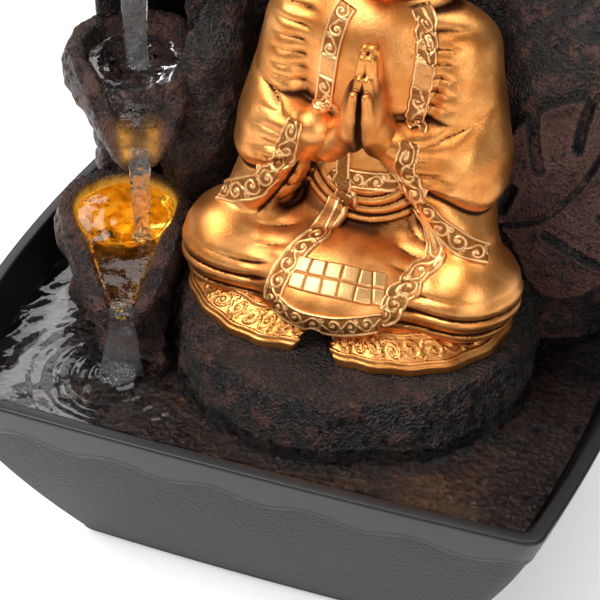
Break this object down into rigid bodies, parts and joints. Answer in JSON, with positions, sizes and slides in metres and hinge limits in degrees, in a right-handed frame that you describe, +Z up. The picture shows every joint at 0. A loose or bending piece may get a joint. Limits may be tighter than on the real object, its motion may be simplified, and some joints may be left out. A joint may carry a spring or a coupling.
{
  "type": "tabletop water fountain",
  "caption": "Tabletop water fountain: square tapered basin, rock cascade of bowls with a lamp, seated robed figure on a round plinth, pump inside.",
  "frame": {"origin": "middle of the basin on the table, under its four feet", "axes": "+Z up, +X to the figure's left-hand side as seen from the front, +Y to the back; the figure faces -Y"},
  "size_m": [0.2112, 0.1762, 0.262],
  "materials": {
    "basin_plastic": "satin dark grey moulded plastic with a fine leather grain",
    "black_rubber": "matt rubber",
    "clear_rubber": "translucent soft rubber",
    "rock_resin": "cast resin rock, charcoal with a red-brown dry brush",
    "gold_paint": "metallic copper-gold paint on cast resin, dark wash in the folds",
    "epoxy": "black potting resin",
    "pump_plastic": "black injection-moulded plastic",
    "impeller_plastic": "white moulded plastic",
    "clear_lens": "clear warm lens",
    "circuit_board": "white solder mask",
    "led_chip": "yellow phosphor",
    "clear_vinyl": "clear flexible vinyl",
    "core_steel": "stacked core plates",
    "copper_wire": "enamelled copper winding",
    "white_ceramic": "polished ceramic",
    "ferrite": "sintered ferrite magnet",
    "filter_foam": "open-cell filter foam",
    "cover_plastic": "charcoal plastic matched to the rock"
  },
  "bodies": {
    "basin": {"basin_floor": "basin_plastic", "basin_front": "basin_plastic", "basin_back": "basin_plastic", "basin_left": "basin_plastic", "basin_right": "basin_plastic", "rubber_feet": "black_rubber", "cord_grommet": "black_rubber"},
    "rock": {"rock_deck": "rock_resin", "rock_plinth": "rock_resin", "rock_wall_left": "rock_resin", "rock_wall_middle": "rock_resin", "rock_wall_right": "rock_resin", "rock_back": "rock_resin", "top_bowl": "rock_resin", "middle_bowl": "rock_resin", "lower_bowl": "rock_resin", "leaf_relief": "rock_resin", "figure_hem": "gold_paint", "figure_robe": "gold_paint", "figure_hands": "gold_paint", "figure_head": "gold_paint", "led_housing": "pump_plastic", "led_lens": "clear_lens", "led_board": "circuit_board", "led_potting": "epoxy", "led_chips": "led_chip", "water_tube": "clear_vinyl", "tube_spigot": "pump_plastic", "pump_body": "pump_plastic", "stator_core": "core_steel", "stator_coil": "copper_wire", "pump_potting": "epoxy", "pump_cable_gland": "black_rubber", "volute_cover": "pump_plastic", "outlet_barb": "pump_plastic", "rotor_shaft": "white_ceramic", "rear_bush": "black_rubber", "dial_pin": "pump_plastic", "suction_cups": "clear_rubber"},
    "rotor": {"impeller": "impeller_plastic", "rotor_magnet": "ferrite"},
    "flow_dial": {"flow_dial": "impeller_plastic"},
    "strainer": {"strainer_plate": "pump_plastic", "strainer_sleeve": "pump_plastic", "foam_filter": "filter_foam"},
    "rear_cover": {"rear_cover": "cover_plastic"}
  },
  "joints": [
    {"name": "rock_lift", "type": "slide", "parent": "basin", "child": "rock", "axis": [0, 0, 1], "range_m": [0, 0.09]},
    {"name": "impeller_spin", "type": "hinge", "parent": "rock", "child": "rotor", "pos_m": [-0.006, 0.03, 0.0228], "axis": [1, 0, 0], "continuous": true},
    {"name": "flow_dial_turn", "type": "hinge", "parent": "rock", "child": "flow_dial", "pos_m": [-0.0205, 0.03, 0.0228], "axis": [1, 0, 0], "range_deg": [0, 70]},
    {"name": "strainer_pull", "type": "slide", "parent": "rock", "child": "strainer", "axis": [-1, 0, 0], "range_m": [0, 0.016]},
    {"name": "rear_cover_pull", "type": "slide", "parent": "rock", "child": "rear_cover", "axis": [0, 1, 0], "range_m": [0, 0.03]}
  ]
}
